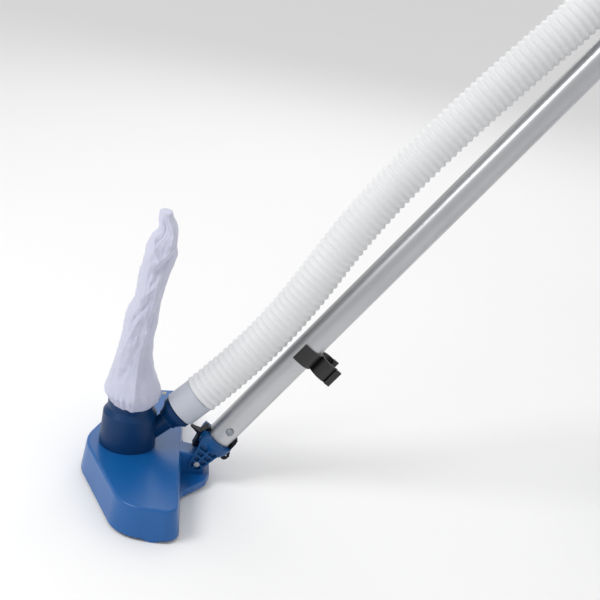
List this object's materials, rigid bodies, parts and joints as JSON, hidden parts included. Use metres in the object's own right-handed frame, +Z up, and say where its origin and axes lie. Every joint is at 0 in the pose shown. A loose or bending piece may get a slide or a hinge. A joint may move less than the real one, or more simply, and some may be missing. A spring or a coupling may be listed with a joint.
{
  "type": "pool vacuum head",
  "caption": "Swimming pool vacuum head with a triangular suction shell, a fabric debris bag on its riser, a hinged aluminium pole section and a corrugated suction hose.",
  "frame": {"origin": "on the pool floor under the axis of the riser, at the centre of the suction mouth", "axes": "+X back toward the pole, +Y across the head toward its far end, +Z up"},
  "size_m": [1.1878, 0.5052, 0.8198],
  "materials": {
    "blue_abs": "glossy mid blue",
    "navy_abs": "satin dark navy",
    "yoke_abs": "satin mid blue",
    "seal_rubber": "matte black",
    "inner_plastic": "matte grey",
    "steel": "bright stainless",
    "cuff_plastic": "smooth blue-grey white",
    "bag_mesh": "thin white fabric",
    "cord_fabric": "cream cord",
    "cream_plastic": "cream plastic",
    "hose_plastic": "white corrugated hose",
    "button_plastic": "grey",
    "pole_alloy": "satin anodised",
    "washer_plastic": "white nylon",
    "black_plastic": "satin black",
    "bristle_nylon": "blue nylon tufts"
  },
  "bodies": {
    "head": {"head_shell": "blue_abs", "riser": "navy_abs", "riser_seal": "seal_rubber", "jet_manifold": "inner_plastic", "riser_screws": "steel", "port_orings": "seal_rubber", "debris_bag": "bag_mesh", "drawstring": "cord_fabric", "cord_lock": "cream_plastic", "hose_run": "hose_plastic", "hose_coil": "hose_plastic", "hose_end_cuff": "cuff_plastic", "brush_bar_rear": "navy_abs", "brush_bar_front_far": "navy_abs", "brush_bar_front_near": "navy_abs", "bristles_rear": "bristle_nylon", "bristles_front_far": "bristle_nylon", "bristles_front_near": "bristle_nylon"},
    "pole_arm": {"pole": "pole_alloy", "yoke": "yoke_abs", "wing_pins": "steel", "button_spring": "steel", "pivot_bolt": "steel", "pivot_nut": "steel", "pivot_washers": "washer_plastic"},
    "swivel_cuff": {"hose_cuff": "cuff_plastic"},
    "clip": {"pole_clip": "black_plastic"},
    "near_button": {"button_near": "button_plastic"},
    "far_button": {"button_far": "button_plastic"},
    "front_wing": {"wing_front": "navy_abs"},
    "rear_wing": {"wing_rear": "navy_abs"}
  },
  "joints": [
    {"name": "pole_hinge", "type": "hinge", "parent": "head", "child": "pole_arm", "pos_m": [0.07825, 0, 0.0243], "axis": [0, 1, 0], "range_deg": [0, 36]},
    {"name": "cuff_swivel", "type": "hinge", "parent": "head", "child": "swivel_cuff", "pos_m": [0.0536, 0, 0.0807], "axis": [0.6921, 0, 0.7218], "continuous": true},
    {"name": "clip_slide", "type": "slide", "parent": "pole_arm", "child": "clip", "axis": [0.5763, 0, 0.8172], "range_m": [-0.095, 0.33]},
    {"name": "near_button_press", "type": "slide", "parent": "pole_arm", "child": "near_button", "axis": [0, 1, 0], "range_m": [0, 0.003], "stiffness_N_per_m": 800, "springref_m": -0.002, "deforming": ["button_spring"]},
    {"name": "far_button_press", "type": "slide", "parent": "pole_arm", "child": "far_button", "axis": [0, -1, 0], "range_m": [0, 0.003], "stiffness_N_per_m": 800, "springref_m": -0.002, "deforming": ["button_spring"]},
    {"name": "front_wing_flex", "type": "hinge", "parent": "pole_arm", "child": "front_wing", "pos_m": [0.0792, 0, 0.0541], "axis": [0, -1, 0], "range_deg": [0, 8], "stiffness_Nm_per_rad": 0.3, "springref_deg": -114.59},
    {"name": "rear_wing_flex", "type": "hinge", "parent": "pole_arm", "child": "rear_wing", "pos_m": [0.10936, 0, 0.03406], "axis": [0, 1, 0], "range_deg": [0, 7], "stiffness_Nm_per_rad": 0.3, "springref_deg": -114.59}
  ]
}
